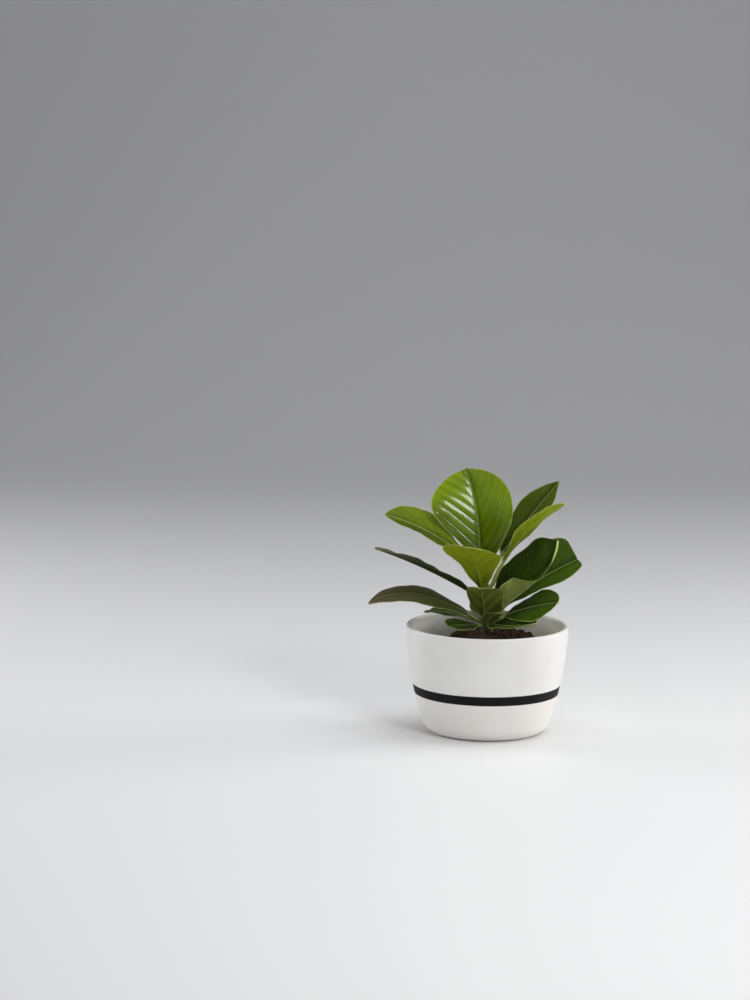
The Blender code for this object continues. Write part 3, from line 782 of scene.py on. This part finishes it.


# %% [markdown]
# ## Leaves: the finish
# The upper face is waxy, with paler veins sunk into it. The underside is matt, on most leaves also paler,
# and its veins stand out. Leaves change with age: the newest are yellow-green and glossy, then they darken
# to a deep green, and the oldest turn greyish brown. The function makes one face of one age. It draws the
# midrib and the side veins from the numbers kept on the mesh and a net of fine veins from the cells of a
# Voronoi texture, and lets the colour drift by noise. It also paints light and shade into the colour: lighter
# puffs between the veins with painted shade in their valleys and beside the midrib, and painted shade towards
# the stalk and on one half of the blade.

# %% Leaf finishes
def leaf_finish(name, face, is_top, roughness, ior, right_half_lit=0.0):
    """The material of one face. The last value says how much further its bright colour reaches on the right
    half: painted light on one half, painted shade on the other.
    """
    skin = Finish(name, IOR=ior)
    deep, bright, pale = face["deep"], face["bright"], face["vein"]
    veins, from_midrib, from_margin = skin.attribute("vein")
    along, across, _ = skin.attribute("where")
    on_blade = skin.step(along, 0.0, 0.06)

    # Where things are. Lengths are in mm, and to_vein is the way to the nearest side vein.
    cell = skin.node("Math", dict(operation="FRACT"), {0: veins + 20.5})
    to_vein = skin.node("Math", dict(operation="ABSOLUTE"), {0: cell - 0.5}) * VEIN_EVERY * 0.65
    drift = (skin.grain(400, 2) - 0.5) * 0.5
    side = (1 - skin.step(to_vein + drift, 0.1, 0.9)) * on_blade * skin.step(from_margin, 0.5, 4.0)
    midrib = 1 - skin.step(from_midrib + along * 0.5, 0.55, 1.25)
    # Painted shade: the channel beside the midrib, darkened as a shaded crease.
    groove = skin.step(from_midrib, 0.8, 1.4) * (1 - skin.step(from_midrib, 1.6, 6.0)) * on_blade
    net = 1 - skin.step(skin.node("TexVoronoi", dict(feature="DISTANCE_TO_EDGE"),
                                  {"Vector": skin.object_place(), "Scale": 420.0}), 0.02, 0.11)
    edge = 1 - skin.step(from_margin, 0.5, 1.4)

    # How bright the green is: clouds of the leaf's own tone, painted light on the puffs between the veins,
    # and painted light towards the tip with painted shade towards the stalk.
    cloud = skin.step(skin.grain(38, 3, 0.5), 0.34, 0.66)
    # Painted light: the puffs between the side veins are lighter, and painted shade darkens the valleys along
    # the veins.
    lit_puff = skin.step(to_vein, 0.4, 3.4)
    # Painted shade: the blade is darker towards the stalk and on its left half, as set for each age; on old
    # leaves the same step also turns the tip brown, which is their own colour.
    grown = skin.step(along + across * right_half_lit, face["dark_until"], face["dark_until"] + 0.7)
    colour = skin.mix(cloud * 0.2 + lit_puff * 0.2 + grown * 0.6, deep, bright)
    # Painted shade in the channel beside the midrib, strong on the upper face.
    colour = skin.mix(groove * (0.5 if is_top else 0.1), colour, deep)
    colour = skin.mix(net * 0.08, colour, pale)
    colour = skin.mix(side * face["side"], colour, pale)
    colour = skin.mix(midrib * face["midrib"], colour, pale)
    colour = skin.mix(edge * 0.9 * on_blade, colour, pale)
    colour = skin.mix((1 - on_blade) * 0.8, colour, pale)

    if is_top:
        height = skin.grain(1300, 2) * 0.015 - side * 0.25 - net * 0.03
    else:
        height = skin.grain(1300, 2) * 0.04 + side * 0.5 + net * 0.08
    return skin.feed(Base_Color=colour, Roughness=roughness + cloud * 0.04 + net * 0.03 + midrib * 0.12,
                     Normal=skin.bump(height, 0.5 * MM, 0.7))


# For each age: its slot, the roughness and IOR of its upper face, how much further its painted light reaches
# on the right half, and both faces. A face has its dark, bright and vein colours, how strongly the vein
# colour shows on the midrib and on the side veins, and how far along the blade its dark colour, painted shade
# near the stalk, reaches.
UNDERSIDE_ROUGHNESS, UNDERSIDE_IOR = 0.55, 1.2
LEAF_AGES = {
    "young": dict(
        slot="young_green", roughness=0.11, ior=1.44, right_half_lit=0.15,
        top=dict(deep=(0.034, 0.055, 0.003), bright=(0.23, 0.35, 0.002), vein=(0.40, 0.47, 0.09),
                 midrib=0.15, side=0.03, dark_until=0.05),
        under=dict(deep=(0.12, 0.16, 0.003), bright=(0.26, 0.33, 0.006), vein=(0.38, 0.42, 0.12),
                   midrib=0.2, side=0.1, dark_until=0.05)),
    "fresh": dict(
        slot="leaf_green", roughness=0.42, ior=1.1, right_half_lit=0.9,
        top=dict(deep=(0.036, 0.056, 0.002), bright=(0.14, 0.205, 0.004), vein=(0.40, 0.45, 0.16),
                 midrib=0.8, side=0.05, dark_until=0.05),
        under=dict(deep=(0.016, 0.025, 0.002), bright=(0.27, 0.33, 0.04), vein=(0.28, 0.32, 0.10),
                   midrib=0.3, side=0.1, dark_until=0.4)),
    "grown": dict(
        slot="leaf_green", roughness=0.36, ior=1.15, right_half_lit=0.0,
        top=dict(deep=(0.015, 0.027, 0.002), bright=(0.058, 0.088, 0.003), vein=(0.30, 0.34, 0.12),
                 midrib=0.5, side=0.05, dark_until=0.05),
        under=dict(deep=(0.13, 0.17, 0.03), bright=(0.20, 0.25, 0.045), vein=(0.30, 0.34, 0.13),
                   midrib=0.3, side=0.1, dark_until=0.05)),
    "mature": dict(
        slot="leaf_green", roughness=0.34, ior=1.14, right_half_lit=0.4,
        top=dict(deep=(0.006, 0.015, 0.001), bright=(0.042, 0.090, 0.002), vein=(0.26, 0.33, 0.10),
                 midrib=0.7, side=0.06, dark_until=0.05),
        under=dict(deep=(0.21, 0.255, 0.055), bright=(0.35, 0.41, 0.10), vein=(0.46, 0.50, 0.22),
                   midrib=0.6, side=0.1, dark_until=0.05)),
    "old": dict(
        slot="leaf_green", roughness=0.45, ior=1.12, right_half_lit=0.0,
        top=dict(deep=(0.050, 0.075, 0.010), bright=(0.100, 0.074, 0.050), vein=(0.28, 0.28, 0.12),
                 midrib=0.6, side=0.08, dark_until=0.3),
        under=dict(deep=(0.026, 0.038, 0.010), bright=(0.062, 0.064, 0.028), vein=(0.16, 0.16, 0.08),
                   midrib=0.6, side=0.1, dark_until=0.3)),
}
finishes = {}
for name, age in LEAF_AGES.items():
    top = leaf_finish(name + "_leaf_top", age["top"], True, age["roughness"], age["ior"], age["right_half_lit"])
    under = leaf_finish(name + "_leaf_underside", age["under"], False, UNDERSIDE_ROUGHNESS, UNDERSIDE_IOR)
    finishes[name] = [top, under]
print("leaf finishes:", list(finishes))

# %% [markdown]
# Now the seventeen leaves are rolled up, one after the other.

# %% All the leaves
for name, values in LEAVES.items():
    leaf = {**LEAF_USUAL, **values}
    blade = finish_piece(roll_leaf(leaf), "blade_" + name, "leaf_" + name, finishes[leaf["age"]],
                         60)
    print(name, [round(v / MM) for v in blade.dimensions], "mm", len(blade.data.polygons), "faces")

# %% [markdown]
# ## Bud
# The next leaf is still rolled up in a pointed sheath at the top of the stem, which is turned like a small
# spindle with a slight twist. It is yellow-green, and brown and dry at its tip.

# %% Bud
BUD_LENGTH, BUD_RADIUS = 13, 2.65      # millimetres
bud_foot = np.array(STEM_LINE[-1], float)
bud_profile = []
for part in np.linspace(0, 1, 30):
    radius = 0.25 + BUD_RADIUS * math.cos(part * math.pi / 2) ** 0.8
    twist = 0.12 * math.sin(part * 9)
    x, y, z = (bud_foot + (-1.5 * part ** 2 + twist, twist, 0.3 + BUD_LENGTH * part)) * MM
    bud_profile.append((radius * MM, z, x, y))
bud = turn_up(bud_profile, sides=32)

sheath = Finish("bud_scale", IOR=1.45)
place = sheath.object_place()
fibres = sheath.step(sheath.grain(500, 3, 0.6), 0.35, 0.65)
tip = sheath.step(sheath.node("SeparateXYZ", None, {0: place}, 2), 162 * MM, 170 * MM)
colour = sheath.mix(fibres, (0.24, 0.28, 0.05), (0.36, 0.40, 0.10))
colour = sheath.mix(tip * 0.7, colour, (0.30, 0.19, 0.09))
bud_scale = sheath.feed(Base_Color=colour, Roughness=0.42 + fibres * 0.1,
                        Normal=sheath.bump(fibres, 0.3 * MM, 0.6))
finish_piece(bud, "bud_sheath", "terminal_bud", [bud_scale])
print("bud done")

# %% [markdown]
# ## Dry scales
# Below the bud two dry scales, what is left of older sheaths, stand against the stem. They are tiny leaves
# with hardly any stalk, so they are rolled up in the same way, from a coarser grid.

# %% Dry scales
papery = Finish("dry_scale", IOR=1.4)
streaks = papery.step(papery.grain(700, 4, 0.65), 0.36, 0.66)
colour = papery.mix(streaks, (0.11, 0.05, 0.02), (0.26, 0.15, 0.07))
dry_scale = papery.feed(Base_Color=colour, Roughness=0.7 + streaks * 0.15,
                        Normal=papery.bump(streaks, 0.4 * MM, 0.8))
for name, height, heading in (("upper", 136, 70), ("lower", 122, 110)):
    scale = {**LEAF_USUAL, **dict(
        height=height, heading=heading, rise=80, stalk=1.4, petiole=2, length=13, width=7, widest=0.4,
        droop=-6, fold_left=30, fold_right=30, point_left=1.0, point_right=1.0, ruffle=0.0, quilt=0.0,
        wrinkle=0.1)}
    piece = roll_leaf(scale, around=36, along=40, stalk_rows=5)
    finish_piece(piece, "scale_" + name, "stipule_" + name, [dry_scale, dry_scale], 60)
print("scales done")

# %% [markdown]
# ## Floor
# The floor is one pale sheet of paper that curves up behind the plant, so no horizon shows. It starts as a
# plane. Its back edge is then extruded step by step round a quarter circle, and at last straight up. The
# paper gets darker towards the back, as a backdrop does where the lamps no longer reach it.

# %% Floor
HALF_ACROSS, HALF_DEEP = 3.0, 1.5          # metres
SWEEP_RADIUS, SWEEP_PARTS = 1.2, 12
DARKER_FROM, DARKER_TO = -0.3, 1.6         # along Y

deselect()
bpy.ops.mesh.primitive_plane_add(size=2, location=(0, 0, 0))
floor = bpy.context.object
bpy.ops.transform.resize(value=(HALF_ACROSS, HALF_DEEP, 1))
bpy.ops.object.transform_apply(scale=True)
bpy.ops.object.mode_set(mode="EDIT")
bpy.ops.mesh.select_mode(type="EDGE")
bpy.ops.mesh.select_all(action="DESELECT")
sheet = bmesh.from_edit_mesh(floor.data)
for edge in sheet.edges:
    edge.select = all(v.co.y > 0 for v in edge.verts)
sheet.select_flush_mode()
chord = SWEEP_RADIUS * math.pi / 2 / SWEEP_PARTS
for i in range(SWEEP_PARTS):
    angle = math.pi / 2 * (i + 0.5) / SWEEP_PARTS
    bpy.ops.mesh.extrude_region_move(TRANSFORM_OT_translate={
        "value": (0, chord * math.cos(angle), chord * math.sin(angle))})
bpy.ops.mesh.extrude_region_move(TRANSFORM_OT_translate={"value": (0, 0, 2.0)})
bpy.ops.object.mode_set(mode="OBJECT")
bpy.ops.object.shade_smooth()
floor.name = "studio_floor"
paper = Finish("studio_paper")
behind = paper.node("SeparateXYZ", None, {0: paper.object_place()}, 1)
shade = paper.mix(paper.step(behind, DARKER_FROM, DARKER_TO), (0.89, 0.89, 0.895), (0.58, 0.58, 0.59))
paper.feed(Base_Color=shade)
floor.data.materials.append(paper.material)
print("floor ready")

# %% [markdown]
# ## Lights and sky
# Five soft boxes light the plant. Two low ones stand to the right and left of it, a little behind, and
# shine over the rim onto the inside of the pot. A small bright one in front, like a window, gives the tall
# leaf its gloss. A weak one fills from the front, and a large one hangs overhead. A pale sky lights the rest.

# %% Lights
def softbox(name, place, aim, width, height, power, colour):
    """A rectangular lamp. Sizes are in metres and power is in watts."""
    bpy.ops.object.light_add(type="AREA", location=place)
    lamp = bpy.context.object
    lamp.name = name
    lamp.data.shape = "RECTANGLE"
    lamp.data.size, lamp.data.size_y = width, height
    lamp.data.energy = power
    lamp.data.color = colour
    lamp.rotation_mode = "QUATERNION"
    lamp.rotation_quaternion = (Vector(aim) - Vector(place)).to_track_quat("-Z", "Y")


middle = (0, 0, 0.12)
softbox("low_right", (1.5, 0.5, 0.38), middle, 0.8, 0.3, 12, (1.0, 0.985, 0.96))
softbox("low_left", (-1.45, 0.6, 0.38), middle, 0.8, 0.3, 8, (1.0, 0.99, 0.98))
softbox("front_window", (0.64, -1.26, 1.05), (0, 0, 0.2), 0.42, 0.34, 8.5, (1.0, 1.0, 0.98))
softbox("front_fill", (-0.5, -1.8, 0.3), middle, 1.4, 0.5, 2, (1.0, 1.0, 1.0))
softbox("overhead", (0.25, 0.1, 1.9), middle, 1.6, 1.4, 21, (0.98, 0.99, 1.0))

world = bpy.data.worlds.new("pale_room")
bpy.context.scene.world = world
world.use_nodes = True
sky = world.node_tree.nodes["Background"]
sky.inputs["Color"].default_value = (0.95, 0.96, 1.0, 1)
sky.inputs["Strength"].default_value = 0.2
bpy.context.scene.view_settings.view_transform = "Standard"
print("lights ready")
